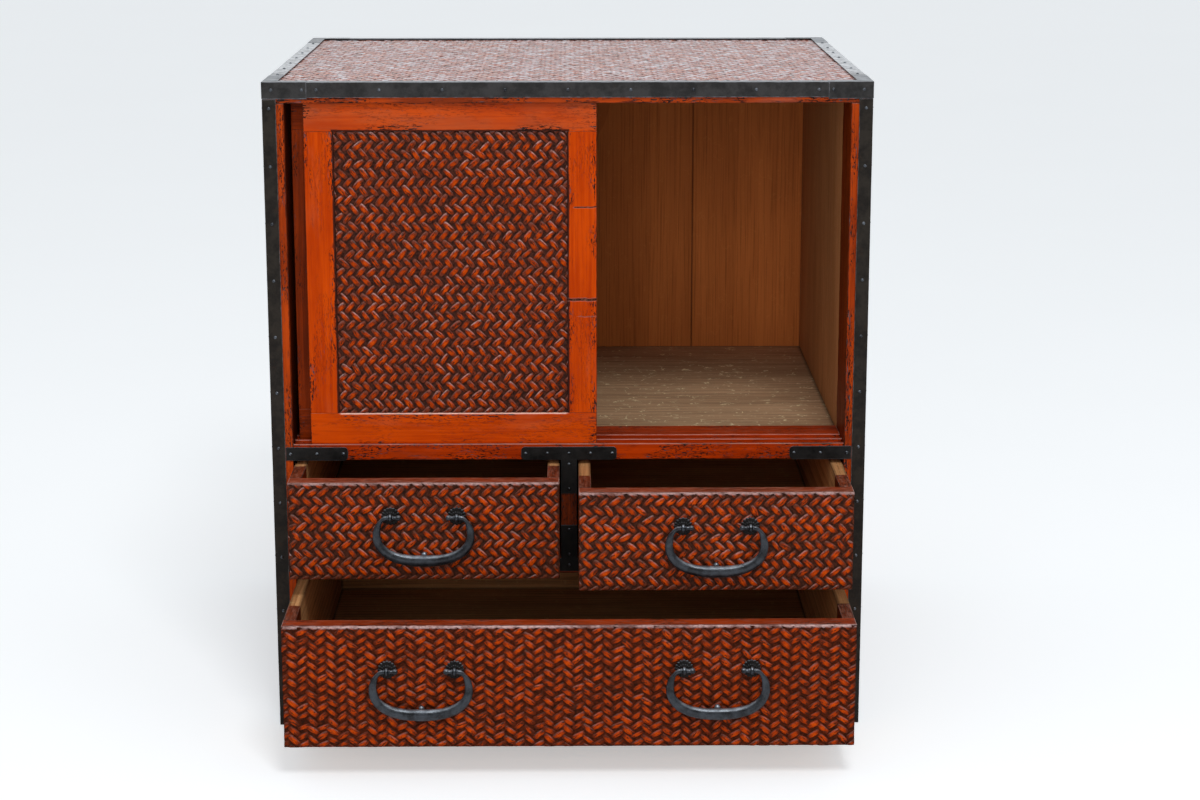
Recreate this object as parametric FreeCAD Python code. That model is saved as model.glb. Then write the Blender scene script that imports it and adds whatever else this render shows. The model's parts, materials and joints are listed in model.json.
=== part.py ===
import FreeCAD, Part
import math
import os

from FreeCAD import Vector

# A small Japanese chest in its own frame, in millimetres: +X to the right, +Y to the back, +Z up.
# The origin is the centre of the underside of the case. The doors stand at the left,
# the drawers stand part way out and the drop handles hang down.

# Case, measured over the iron edging
case_width = 450.0
case_depth = 390.0
case_height = 498.0

# Carcass boards
side_board_thick = 13.6
top_board_thick = 13.4
back_board_thick = 10.4
back_board_count = 4
divider_thick = 12.3
floor_thick = 9.5
floor_drop = 3.0            # the compartment floor lies this far below the top of the sill
shelf_thick = 9.0
bottom_board_thick = 12.0
runner_width = 22.0

# Front rails, from the top down, and the openings under them
track_rail_depth = 58.0
sill_rail_height = 12.5
small_opening_height = 77.9
lower_rail_height = 12.0
lower_rail_depth = 45.0
large_opening_height = 96.2
base_rail_height = 25.7
base_rail_depth = 20.0

# Grooves that the doors run in
track_lip = 4.0
track_groove_width = 10.0
track_ridge = 4.5
sill_groove_depth = 3.3
head_groove_depth = 6.0

# Woven sheets
case_sheet_thick = 1.4
drawer_sheet_thick = 2.4
door_sheet_thick = 2.2

# Iron edging
iron_thick = 1.0
edge_leg = 11.4             # height of the top edging on the front, back and sides
edge_flange = 11.0          # width of the top edging on the top
post_leg = 10.3
foot_band_height = 10.0
cap_thick = 1.2
cap_height = 12.4
cap_front_wing = 33.0
cap_side_wing = 52.0
iron_gap = 0.2              # between neighbouring pieces of iron

# Flat iron brackets
bracket_height = 10.2
bracket_end_radius = 3.0
tee_arm_length = 72.6
tee_stem_drop = 26.4        # from the rail's edge to the end of the stem
end_bracket_length = 47.2

# Nails
nail_radius = 1.25
nail_rise = 0.7
nail_pitch = 44.0
nail_margin = 7.0           # from the end of a strip to its last nail
bracket_nail_pitch = 17.0
bracket_nail_margin = 3.5

# Doors
door_width = 217.0
door_slide_gap = 0.3        # each side of a door in its groove, and under it
door_head_entry = 4.0       # how far a door's top edge stands in the head groove
door_stile_width = 22.1
door_top_rail_height = 25.2
door_bottom_rail_height = 26.1
door_board_thick = 4.0
door_board_entry = 4.0      # how far the board stands in the grooves of its frame
door_board_gap = 0.1
door_sheet_recess = 0.7     # the woven sheet lies this far behind the face of the frame
front_door_rest = 13.3      # from the left side board to the front door
rear_door_rest = 3.0

# Drawers
drawer_side_gap = 0.9
drawer_top_gap = 3.3
drawer_run_gap = 0.3        # between a drawer and what it runs on
drawer_stop_gap = 1.0       # behind a closed drawer
drawer_front_thick = 14.0
drawer_side_thick = 9.3
drawer_back_thick = 9.0
drawer_back_drop = 2.5
drawer_bottom_thick = 6.0
left_drawer_pull = 55.0
right_drawer_pull = 85.0
large_drawer_pull = 119.0

# Drop handles
handle_half_span = 24.5     # from the middle of a handle to its eye
small_handle_drop = 25.3    # from the top of a small drawer to the pivot
large_handle_drop = 32.8
pivot_stand = 5.4           # from the woven face to the pivot
rosette_radius = 7.0
rosette_petals = 16
rosette_petal_radius = 1.5
rosette_rim = 1.3
rosette_boss_radius = 3.6
rosette_boss_rise = 2.2
eye_outer_radius = 3.0
eye_width = 1.8
neck_radius = 1.55
neck_gap = 0.08             # between the neck of a bail and its eye, all round
pin_radius = 1.1
pin_hole_gap = 0.1
clinch_length = 9.0
clinch_thick = 0.8
stud_radius = 2.2
stud_rise = 2.6
stud_above_bar = 3.6
bail_tip = 6.0              # from the middle of an eye to the tip of the bail
bail_knob_radius = 2.3
bail_collar_radius = 2.15
bail_collar_width = 0.9
bail_collar_play = 0.5      # between an eye and the collars beside it
bail_half_width = 34.8
bail_drop = 33.0
bail_widest_drop = 13.0     # from the pivot down to where the bail is widest
bail_bar_radius = 3.5
bail_side_radius = 2.0
bail_side_fullness = 0.8    # powers that square up the curve of the bar; 1 is an ellipse
bail_bar_fullness = 0.9

# Places that follow from the sizes
half_width = case_width / 2
wood_front = -case_depth / 2 + iron_thick
wood_back = case_depth / 2 - iron_thick
sheet_outer = half_width - iron_thick
board_outer = sheet_outer - case_sheet_thick
inner_half = board_outer - side_board_thick
sheet_top = case_height - iron_thick
board_top = sheet_top - case_sheet_thick
ceiling = board_top - top_board_thick
inner_back = wood_back - back_board_thick
track_back = wood_front + track_rail_depth
base_top = base_rail_height
lower_rail_bottom = base_top + large_opening_height
lower_rail_top = lower_rail_bottom + lower_rail_height
sill_bottom = lower_rail_top + small_opening_height
sill_top = sill_bottom + sill_rail_height
front_groove = wood_front + track_lip
rear_groove = front_groove + track_groove_width + track_ridge
divider_half = divider_thick / 2
post_inner = half_width - post_leg
cap_bottom = case_height - cap_height
closed_front = wood_front - iron_thick


def box(x0, x1, y0, y1, z0, z1):
    """A block between two corners."""
    return Part.makeBox(x1 - x0, y1 - y0, z1 - z0, Vector(x0, y0, z0))


def rod(radius, length, start, direction):
    return Part.makeCylinder(radius, length, start, direction)


def mirror_x(shape):
    return shape.mirror(Vector(0, 0, 0), Vector(1, 0, 0))


def mirror_y(shape):
    return shape.mirror(Vector(0, 0, 0), Vector(0, 1, 0))


def dome(centre, outward, radius, rise):
    """A low round head with its flat side at centre."""
    ball = (radius ** 2 + rise ** 2) / (2 * rise)
    lowest = math.degrees(math.asin((ball - rise) / ball))
    sunk = centre - outward * (ball - rise)
    return Part.makeSphere(ball, sunk, outward, lowest, 90, 360)


def spaced(start, end, pitch):
    """Evenly spaced places from start to end, about a pitch apart."""
    count = max(1, round(abs(end - start) / pitch))
    return [start + (end - start) * i / count for i in range(count + 1)]


# ---- carcass

def track_rail(bottom, top, groove_bottom, groove_top, half_length):
    """A front rail with the two grooves of the doors."""
    rail = box(-half_length, half_length, wood_front, track_back, bottom, top)
    for groove in (front_groove, rear_groove):
        rail = rail.cut(box(-inner_half, inner_half, groove, groove + track_groove_width,
                            groove_bottom, groove_top))
    return rail


def case_boards():
    side = box(inner_half, board_outer, wood_front, wood_back, 0, ceiling)
    back_width = 2 * inner_half / back_board_count
    backs = [box(-inner_half + i * back_width, -inner_half + (i + 1) * back_width,
                 inner_back, wood_back, 0, ceiling) for i in range(back_board_count)]
    base_back = wood_front + base_rail_depth
    runner = box(inner_half - runner_width, inner_half, base_back, inner_back,
                 bottom_board_thick, base_top)
    return {
        "top_board": [box(-board_outer, board_outer, track_back, wood_back, ceiling, board_top)],
        "head_rail": [track_rail(ceiling, board_top, ceiling, ceiling + head_groove_depth,
                                 board_outer)],
        "side_board_left": [mirror_x(side)],
        "side_board_right": [side],
        "back_boards": backs,
        "compartment_floor": [box(-inner_half, inner_half, track_back, inner_back,
                                  sill_top - floor_drop - floor_thick, sill_top - floor_drop)],
        "sill_rail": [track_rail(sill_bottom, sill_top, sill_top - sill_groove_depth, sill_top,
                                 inner_half)],
        "centre_divider": [box(-divider_half, divider_half, wood_front, inner_back,
                               lower_rail_top, sill_bottom)],
        "lower_rail": [box(-inner_half, inner_half, wood_front, wood_front + lower_rail_depth,
                           lower_rail_bottom, lower_rail_top)],
        "drawer_shelf": [box(-inner_half, inner_half, wood_front + lower_rail_depth, inner_back,
                             lower_rail_top - shelf_thick, lower_rail_top)],
        "base_rail": [box(-inner_half, inner_half, wood_front, base_back, 0, base_top)],
        "bottom_board": [box(-inner_half, inner_half, base_back, inner_back,
                             0, bottom_board_thick)],
        "drawer_runners": [mirror_x(runner), runner],
    }


def case_sheets():
    side = box(board_outer, sheet_outer, wood_front, wood_back, 0, board_top)
    return {
        "woven_top": [box(-sheet_outer, sheet_outer, wood_front, wood_back,
                          board_top, sheet_top)],
        "woven_sides": [mirror_x(side), side],
    }


# ---- iron edging

def edge_angle_x(half_length):
    """The angle along the top front edge."""
    flange = box(-half_length, half_length, closed_front, closed_front + edge_flange,
                 sheet_top, case_height)
    leg = box(-half_length, half_length, closed_front, wood_front,
              case_height - edge_leg, case_height)
    return flange.fuse(leg).removeSplitter()


def edge_angle_y(half_length):
    """The angle along the top right edge."""
    flange = box(half_width - edge_flange, half_width, -half_length, half_length,
                 sheet_top, case_height)
    leg = box(sheet_outer, half_width, -half_length, half_length,
              case_height - edge_leg, case_height)
    return flange.fuse(leg).removeSplitter()


def corner_cap():
    """The three-way cap on the top front right corner."""
    outer_x = sheet_outer + cap_thick
    outer_y = wood_front - cap_thick
    outer_z = sheet_top + cap_thick
    front_end = half_width - cap_front_wing
    side_end = closed_front + cap_side_wing
    flange_x = half_width - edge_flange
    flange_y = closed_front + edge_flange
    pieces = [
        box(front_end, outer_x, outer_y, wood_front, cap_bottom, outer_z),
        box(sheet_outer, outer_x, outer_y, side_end, cap_bottom, outer_z),
        box(front_end, outer_x, outer_y, flange_y, sheet_top, outer_z),
        box(flange_x, outer_x, outer_y, side_end, sheet_top, outer_z),
    ]
    return pieces[0].multiFuse(pieces[1:]).removeSplitter()


def corner_post():
    """The angle down the front right corner."""
    top = cap_bottom - iron_gap
    leg = box(post_inner, half_width, closed_front, wood_front, 0, top)
    side = box(sheet_outer, half_width, closed_front, closed_front + post_leg, 0, top)
    return leg.fuse(side).removeSplitter()


def edging():
    long_angle = edge_angle_x(half_width - cap_front_wing - iron_gap)
    side_angle = edge_angle_y(case_depth / 2 - cap_side_wing - iron_gap)
    cap = corner_cap()
    post = corner_post()
    foot_front = box(-post_inner + iron_gap, post_inner - iron_gap, closed_front, wood_front,
                     0, foot_band_height)
    foot_reach = case_depth / 2 - post_leg - iron_gap
    foot_side = box(sheet_outer, half_width, -foot_reach, foot_reach, 0, foot_band_height)
    caps = [cap, mirror_x(cap)]
    return {
        "top_edge_long": [long_angle, mirror_y(long_angle)],
        "top_edge_side": [mirror_x(side_angle), side_angle],
        "corner_caps": caps + [mirror_y(c) for c in caps],
        "front_posts": [mirror_x(post), post],
        "back_posts": [mirror_y(mirror_x(post)), mirror_y(post)],
        "foot_bands": [foot_front, mirror_x(foot_side), foot_side],
    }


# ---- brackets and nails

def rounded(plate, edge_test):
    """Round the plate's upright corners that edge_test picks."""
    edges = [e for e in plate.Edges
             if abs(e.BoundBox.YLength - iron_thick) < 1e-6 and edge_test(e.CenterOfMass)]
    return plate.makeFillet(bracket_end_radius, edges)


def tee_plate(rail_edge, toward):
    """A tee on the divider: its arm lies along the rail edge and its stem points toward."""
    arm_half = tee_arm_length / 2
    arm_z = sorted((rail_edge, rail_edge - toward * bracket_height))
    stem_z = sorted((rail_edge, rail_edge + toward * tee_stem_drop))
    arm = box(-arm_half, arm_half, closed_front, wood_front, *arm_z)
    stem = box(-divider_half, divider_half, closed_front, wood_front, *stem_z)
    arm = rounded(arm, lambda c: True)
    return arm.fuse(stem).removeSplitter()


def end_bracket(bottom):
    """The flat bracket from the right post onto a rail."""
    outer = post_inner - iron_gap
    inner = post_inner - end_bracket_length
    plate = box(inner, outer, closed_front, wood_front, bottom, bottom + bracket_height)
    return rounded(plate, lambda c: c.x < inner + iron_gap)


def brackets():
    sill_end = end_bracket(sill_bottom)
    lower_end = end_bracket(lower_rail_top - bracket_height)
    ends = [sill_end, lower_end]
    return {
        "tee_plates": [tee_plate(sill_bottom, -1), tee_plate(lower_rail_top, 1)],
        "end_brackets": ends + [mirror_x(e) for e in ends],
    }


def nails():
    front = Vector(0, -1, 0)
    side = Vector(1, 0, 0)
    up = Vector(0, 0, 1)

    def head(x, y, z, outward):
        return dome(Vector(x, y, z), outward, nail_radius, nail_rise)

    strip_end = half_width - cap_front_wing - iron_gap - nail_margin
    side_end = case_depth / 2 - cap_side_wing - iron_gap - nail_margin
    edge_mid = case_height - edge_leg / 2
    flange_mid = half_width - edge_flange / 2
    cap_face = wood_front - cap_thick
    cap_side = sheet_outer + cap_thick
    post_mid = half_width - post_leg / 2
    post_side_mid = closed_front + post_leg / 2

    on_long_edges = [head(x, closed_front, edge_mid, front)
                     for x in spaced(-strip_end, strip_end, nail_pitch)]
    on_sides = []
    for y in spaced(-side_end, side_end, nail_pitch):
        on_sides.append(head(half_width, y, edge_mid, side))
        on_sides.append(head(flange_mid, y, case_height, up))
    on_corners = [
        head(half_width - nail_margin, cap_face, edge_mid, front),
        head(half_width - cap_front_wing + bracket_nail_margin, cap_face, edge_mid, front),
        head(cap_side, closed_front + nail_margin, edge_mid, side),
        head(cap_side, closed_front + cap_side_wing - nail_margin, edge_mid, side),
    ]
    for z in spaced(nail_margin, cap_bottom - nail_margin, nail_pitch):
        on_corners.append(head(post_mid, closed_front, z, front))
        on_corners.append(head(half_width, post_side_mid, z, side))

    on_tees = []
    arm_last = tee_arm_length / 2 - bracket_nail_margin
    end_first = post_inner - iron_gap - bracket_nail_margin
    end_last = post_inner - end_bracket_length + bracket_nail_margin
    for rail_edge, toward in ((sill_bottom, -1), (lower_rail_top, 1)):
        arm_mid = rail_edge - toward * bracket_height / 2
        stem_first = rail_edge + toward * bracket_nail_margin
        stem_last = rail_edge + toward * (tee_stem_drop - bracket_nail_margin)
        on_tees += [head(x, closed_front, arm_mid, front)
                    for x in spaced(-arm_last, arm_last, bracket_nail_pitch)]
        on_tees += [head(0, closed_front, z, front)
                    for z in spaced(stem_first, stem_last, bracket_nail_pitch)]
        on_sides += [head(x, closed_front, arm_mid, front)
                     for x in spaced(end_first, end_last, bracket_nail_pitch)]

    heads = on_tees + on_long_edges + [mirror_y(n) for n in on_long_edges]
    for nail in on_sides + on_corners + [mirror_y(n) for n in on_corners]:
        heads += [nail, mirror_x(nail)]
    return {"case_nails": heads}


# ---- sliding doors

def door(name, left, front):
    """A framed panel with its left edge at left and its face at front."""
    thick = track_groove_width - 2 * door_slide_gap
    bottom = sill_top - sill_groove_depth + door_slide_gap
    top = ceiling + door_head_entry
    right = left + door_width
    back = front + thick
    low = bottom + door_bottom_rail_height
    high = top - door_top_rail_height
    inner_left = left + door_stile_width
    inner_right = right - door_stile_width
    sheet_front = front + door_sheet_recess
    board_front = sheet_front + door_sheet_thick
    board_back = board_front + door_board_thick
    groove = box(inner_left - door_board_entry, inner_right + door_board_entry,
                 board_front, board_back, low - door_board_entry, high + door_board_entry)
    reach = door_board_entry - door_board_gap
    panel = box(inner_left - reach, inner_right + reach, board_front, board_back,
                low - reach, high + reach)
    stiles = [box(left, inner_left, front, back, low, high),
              box(inner_right, right, front, back, low, high)]
    rails = [box(left, right, front, back, bottom, low),
             box(left, right, front, back, high, top)]
    return {
        name + "_stiles": [s.cut(groove) for s in stiles],
        name + "_rails": [r.cut(groove) for r in rails],
        name + "_panel": [panel],
        name + "_weave": [box(inner_left, inner_right, sheet_front, board_front, low, high)],
    }


# ---- drop handles

def rosette(centre):
    """A chrysanthemum plate on the woven face, with the hole for its pin."""
    out = Vector(0, -1, 0)
    petal_place = rosette_radius - rosette_petal_radius
    petals = []
    for i in range(rosette_petals):
        turn = 2 * math.pi * i / rosette_petals
        place = centre + Vector(math.cos(turn), 0, math.sin(turn)) * petal_place
        petals.append(rod(rosette_petal_radius, rosette_rim, place, out))
    plate = rod(petal_place, rosette_rim, centre, out).multiFuse(petals)
    plate = plate.fuse(rod(rosette_boss_radius, rosette_boss_rise, centre, out))
    hole = rod(pin_radius + pin_hole_gap, rosette_boss_rise, centre, out)
    return plate.cut(hole).removeSplitter()


def eye_pin(pivot, board_back):
    """The eye round the bail's neck, its shank through the front and its clinched legs."""
    start = pivot - Vector(eye_width / 2, 0, 0)
    along = Vector(1, 0, 0)
    bore = rod(neck_radius + neck_gap, eye_width, start, along)
    shank_top = Vector(pivot.x, pivot.y + (neck_radius + eye_outer_radius) / 2, pivot.z)
    shank = rod(pin_radius, board_back - shank_top.y, shank_top, Vector(0, 1, 0))
    clinch = box(pivot.x - clinch_length / 2, pivot.x + clinch_length / 2,
                 board_back, board_back + clinch_thick,
                 pivot.z - pin_radius, pivot.z + pin_radius)
    return rod(eye_outer_radius, eye_width, start, along).multiFuse([shank, clinch]).cut(bore)


def bail_line():
    """Places and bar radii down the right half of a bail, from the neck to the middle."""
    start = eye_width / 2 + bail_collar_play + bail_collar_width + handle_half_span
    swell = bail_half_width - start
    lower = bail_drop - bail_widest_drop
    line = []
    for degrees in (0, 25, 50, 75):
        turn = math.radians(degrees)
        share = degrees / 90
        line.append((start + swell * math.sin(turn), -bail_widest_drop * (1 - math.cos(turn)),
                     neck_radius + (bail_side_radius - neck_radius) * share))
    for degrees in (0, 20, 38, 54, 68, 80, 90):
        turn = math.radians(degrees)
        share = degrees / 90
        line.append((bail_half_width * math.cos(turn) ** bail_side_fullness,
                     -bail_widest_drop - lower * math.sin(turn) ** bail_bar_fullness,
                     bail_side_radius + (bail_bar_radius - bail_side_radius) * share))
    return line


def bail(pivot_middle):
    """A forged bail that hangs from two eyes."""
    half = bail_line()
    places = [Vector(-x, 0, z) for x, z, r in half]
    places += [Vector(x, 0, z) for x, z, r in reversed(half[:-1])]
    radii = [r for x, z, r in half] + [r for x, z, r in reversed(half[:-1])]
    rings = []
    for i, place in enumerate(places):
        before = places[max(i - 1, 0)]
        after = places[min(i + 1, len(places) - 1)]
        heading = after - before
        if i in (0, len(places) - 1):
            heading = Vector(1, 0, 0)
        rings.append(Part.Wire(Part.makeCircle(radii[i], place, heading)))
    shape = Part.makeLoft(rings, True, False)
    along = Vector(1, 0, 0)
    neck_end = half[0][0]
    tip = handle_half_span - bail_tip
    eye_side = eye_width / 2 + bail_collar_play
    for hand in (-1, 1):
        neck = rod(neck_radius, neck_end - tip, Vector(hand * tip, 0, 0), along * hand)
        knob = Part.makeSphere(bail_knob_radius, Vector(hand * tip, 0, 0))
        outer = rod(bail_collar_radius, bail_collar_width,
                    Vector(hand * (handle_half_span + eye_side), 0, 0), along * hand)
        inner = rod(bail_collar_radius, bail_collar_width,
                    Vector(hand * (handle_half_span - eye_side), 0, 0), along * -hand)
        shape = shape.multiFuse([neck, knob, outer, inner])
    shape.translate(pivot_middle)
    return shape


# ---- drawers

def drawer(name, x0, x1, z0, z1, pull, handle_places, handle_drop):
    """A drawer pulled out by pull. Handles hang at handle_places, handle_drop below its top."""
    face = closed_front
    board_front = face + drawer_sheet_thick
    board_back = board_front + drawer_front_thick
    back = inner_back - drawer_stop_gap
    side_in_left = x0 + drawer_side_thick
    side_in_right = x1 - drawer_side_thick
    sheet = box(x0, x1, face, board_front, z0, z1)
    front = box(x0, x1, board_front, board_back, z0, z1)
    parts = {
        "_sides": [box(x0, side_in_left, board_back, back, z0, z1),
                   box(side_in_right, x1, board_back, back, z0, z1)],
        "_back": [box(side_in_left, side_in_right, back - drawer_back_thick, back,
                      z0 + drawer_bottom_thick, z1 - drawer_back_drop)],
        "_bottom": [box(side_in_left, side_in_right, board_back, back,
                        z0, z0 + drawer_bottom_thick)],
        "_rosettes": [],
        "_eyes": [],
        "_studs": [],
    }
    pivot_z = z1 - handle_drop
    pivot_y = face - pivot_stand
    for middle in handle_places:
        for x in (middle - handle_half_span, middle + handle_half_span):
            on_face = Vector(x, face, pivot_z)
            hole = rod(pin_radius + pin_hole_gap, board_back - face, on_face, Vector(0, 1, 0))
            sheet = sheet.cut(hole)
            front = front.cut(hole)
            parts["_rosettes"].append(rosette(on_face))
            parts["_eyes"].append(eye_pin(Vector(x, pivot_y, pivot_z), board_back))
        stud_z = pivot_z - bail_drop + stud_above_bar
        parts["_studs"].append(dome(Vector(middle, face, stud_z), Vector(0, -1, 0),
                                    stud_radius, stud_rise))
    parts["_front"] = [front]
    parts["_weave"] = [sheet]
    out = Vector(0, -pull, 0)
    return {name + key: [s.translated(out) for s in shapes] for key, shapes in parts.items()}


def bail_at(middle, top, pull, handle_drop):
    return [bail(Vector(middle, closed_front - pivot_stand - pull, top - handle_drop))]


def drawers():
    small_low = lower_rail_top + drawer_run_gap
    small_high = sill_bottom - drawer_top_gap
    large_low = base_top + drawer_run_gap
    large_high = lower_rail_bottom - drawer_top_gap
    outer = inner_half - drawer_side_gap
    inner = divider_half + drawer_side_gap
    middle = (outer + inner) / 2
    nodes = {}
    nodes.update(drawer("small_drawer_left", -outer, -inner, small_low, small_high,
                        left_drawer_pull, [-middle], small_handle_drop))
    nodes.update(drawer("small_drawer_right", inner, outer, small_low, small_high,
                        right_drawer_pull, [middle], small_handle_drop))
    nodes.update(drawer("large_drawer", -outer, outer, large_low, large_high,
                        large_drawer_pull, [-middle, middle], large_handle_drop))
    nodes["bail_small_left"] = bail_at(-middle, small_high, left_drawer_pull, small_handle_drop)
    nodes["bail_small_right"] = bail_at(middle, small_high, right_drawer_pull, small_handle_drop)
    nodes["bail_large_left"] = bail_at(-middle, large_high, large_drawer_pull, large_handle_drop)
    nodes["bail_large_right"] = bail_at(middle, large_high, large_drawer_pull, large_handle_drop)
    return nodes


# ---- the chest

def chest():
    nodes = {}
    for group in (case_boards(), case_sheets(), edging(), brackets(), nails()):
        nodes.update(group)
    nodes.update(door("front_door", -inner_half + front_door_rest,
                      front_groove + door_slide_gap))
    nodes.update(door("rear_door", -inner_half + rear_door_rest,
                      rear_groove + door_slide_gap))
    nodes.update(drawers())
    return nodes


os.makedirs("parts", exist_ok=True)
for node_name, solids in chest().items():
    shape = solids[0] if len(solids) == 1 else Part.makeCompound(solids)
    shape.exportStep("parts/" + node_name + ".step")
    print(node_name, len(solids), "solids", round(shape.Volume, 1), "mm3")
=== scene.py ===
import json
import math

import bmesh
import bpy
import numpy as np
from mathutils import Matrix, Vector, noise

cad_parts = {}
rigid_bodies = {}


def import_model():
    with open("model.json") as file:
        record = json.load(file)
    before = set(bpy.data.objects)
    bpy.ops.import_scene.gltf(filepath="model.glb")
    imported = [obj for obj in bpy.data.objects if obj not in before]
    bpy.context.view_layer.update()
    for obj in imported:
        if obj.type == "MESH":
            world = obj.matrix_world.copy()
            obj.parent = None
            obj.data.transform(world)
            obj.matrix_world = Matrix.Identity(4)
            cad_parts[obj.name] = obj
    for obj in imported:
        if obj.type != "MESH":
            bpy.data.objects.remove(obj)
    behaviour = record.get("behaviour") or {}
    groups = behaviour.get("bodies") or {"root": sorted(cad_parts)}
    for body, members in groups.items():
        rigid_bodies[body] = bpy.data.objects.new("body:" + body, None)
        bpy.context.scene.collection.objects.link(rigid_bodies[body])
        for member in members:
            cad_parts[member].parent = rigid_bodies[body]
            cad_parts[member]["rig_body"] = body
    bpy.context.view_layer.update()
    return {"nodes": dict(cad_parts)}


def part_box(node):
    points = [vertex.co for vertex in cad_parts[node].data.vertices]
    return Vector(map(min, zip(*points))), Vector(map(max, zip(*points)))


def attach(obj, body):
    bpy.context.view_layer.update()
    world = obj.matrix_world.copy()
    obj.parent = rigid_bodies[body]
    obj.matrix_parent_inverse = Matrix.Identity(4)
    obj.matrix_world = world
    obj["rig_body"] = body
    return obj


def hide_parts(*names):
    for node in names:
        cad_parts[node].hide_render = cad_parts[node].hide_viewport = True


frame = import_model()
nodes = frame["nodes"]
mm = 0.001
print("frame loaded:", len(nodes), "nodes")


class Value:
    # what runs through a material's nodes, to be reckoned with like a number
    def __init__(self, socket):
        self.socket = socket
        self.tree = socket.id_data

    def __add__(self, other):
        return calc("ADD", self, other)

    def __sub__(self, other):
        return calc("SUBTRACT", self, other)

    def __rsub__(self, other):
        return calc("SUBTRACT", other, self)

    def __mul__(self, other):
        return calc("MULTIPLY", self, other)

    def __abs__(self):
        return calc("ABSOLUTE", self)


def addNode(tree, kind, output, inputs=None, **settings):
    # hands back one output of the new node, or all of them if output is None
    made = tree.nodes.new(kind)
    for key, value in settings.items():
        setattr(made, key, value)
    for key, value in (inputs or {}).items():
        if isinstance(value, Value):
            tree.links.new(value.socket, made.inputs[key])
        else:
            made.inputs[key].default_value = value
    if output is None:
        return [Value(socket) for socket in made.outputs]
    return Value(made.outputs[output])


def calc(operation, *values):
    tree = next(value.tree for value in values if isinstance(value, Value))
    return addNode(tree, "ShaderNodeMath", 0, dict(enumerate(values)), operation=operation)


def greatest(first, *others):
    for other in others:
        first = calc("MAXIMUM", first, other)
    return first


def read(tree, name, output="Fac"):
    # what a mesh says of each of its points
    return addNode(tree, "ShaderNodeAttribute", output, attribute_name=name)


def spotIn(tree):
    # a point's own place in its piece
    return addNode(tree, "ShaderNodeTexCoord", "Object")


def partsOf(vector):
    return addNode(vector.tree, "ShaderNodeSeparateXYZ", None, {0: vector})


def fade(value, low, high, atLow=0.0, atHigh=1.0):
    # a soft step from atLow to atHigh while value goes from low to high
    return addNode(value.tree, "ShaderNodeMapRange", "Result",
                   {"Value": value, "From Min": low, "From Max": high,
                    "To Min": atLow, "To Max": atHigh}, interpolation_type="SMOOTHSTEP")


def paint(colour):
    # a colour as a paint chart gives it, 0 to 255, turned into shader values
    shares = [part / 255 for part in colour]
    return (*(share / 12.92 if share <= 0.04045 else ((share + 0.055) / 1.055) ** 2.4
              for share in shares), 1.0)


def blend(first, share, second):
    # the second colour laid over the first one
    first, second = [c if isinstance(c, Value) else paint(c) for c in (first, second)]
    return addNode(share.tree, "ShaderNodeMix", 2, {0: share, 6: first, 7: second},
                   data_type="RGBA")


def stretched(vector, amounts):
    return addNode(vector.tree, "ShaderNodeVectorMath", 0, {0: vector, 1: amounts},
                   operation="MULTIPLY")


def grains(vector, fineness, detail=3.0, roughness=0.55):
    # noise, as fine as this in all directions or in each of the three
    if isinstance(fineness, tuple):
        vector, fineness = stretched(vector, fineness), 1.0
    return addNode(vector.tree, "ShaderNodeTexNoise", "Fac",
                   {"Vector": vector, "Scale": fineness, "Detail": detail,
                    "Roughness": roughness})


def bumpFrom(height, strength, distance, under=None):
    inputs = {"Height": height, "Strength": strength, "Distance": distance}
    if under:
        inputs["Normal"] = under
    return addNode(height.tree, "ShaderNodeBump", "Normal", inputs)


def facesUp(tree, low, high, normal=None):
    # 0 on a face that looks level or down, 1 on one that looks up
    normal = normal or addNode(tree, "ShaderNodeNewGeometry", "Normal")
    return fade(partsOf(normal)[2], low, high)


def edgeDistance(tree):
    # how far a point lies from the nearest edge of its own board: the middle one of
    # its three distances to the faces of the board
    near = addNode(tree, "ShaderNodeVectorMath", 0,
                   {0: read(tree, "fromLow", "Vector"), 1: read(tree, "fromHigh", "Vector")},
                   operation="MINIMUM")
    x, y, z = partsOf(near)
    return greatest(calc("MINIMUM", x, y), calc("MINIMUM", greatest(x, y), z))


def newMaterial(name):
    material = bpy.data.materials.new(name)
    material.use_nodes = True
    return material, material.node_tree, material.node_tree.nodes["Principled BSDF"]


def fillShader(shader, colour, roughness, normal, gloss, coat, coatRoughness):
    for value, socket in ((colour, "Base Color"), (roughness, "Roughness"), (normal, "Normal")):
        value.tree.links.new(value.socket, shader.inputs[socket])
    shader.inputs["Specular IOR Level"].default_value = gloss
    shader.inputs["Coat Weight"].default_value = coat
    shader.inputs["Coat Roughness"].default_value = coatRoughness


# each wood: light and dark colour, how strongly rings, pores, scuffs and scratches show,
# width of the dirt along its edges and gap between its rings in mm, roughness
woodValues = ("light", "dark", "rings", "pores", "scuffs", "scratches", "dirt", "ringGap",
              "rough")
bareWoods = {
    "backBoard": ((206, 118, 58), (160, 86, 40), 0.22, 0.55, 0.15, 0.07, 1.2, 7.0, 0.55),
    "wallBoard": ((214, 148, 96), (168, 110, 66), 0.3, 0.5, 0.25, 0.15, 3.0, 3.5, 0.55),
    "floorBoard": ((214, 176, 138), (150, 116, 86), 0.3, 0.8, 0.7, 0.9, 4.0, 4.0, 0.6),
    "drawerBoard": ((222, 164, 110), (170, 112, 68), 0.5, 0.75, 0.3, 0.2, 3.0, 3.0, 0.55),
    "hiddenBoard": ((112, 72, 42), (72, 42, 22), 0.5, 0.75, 0.4, 0.2, 4.0, 4.0, 0.6),
}

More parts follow.
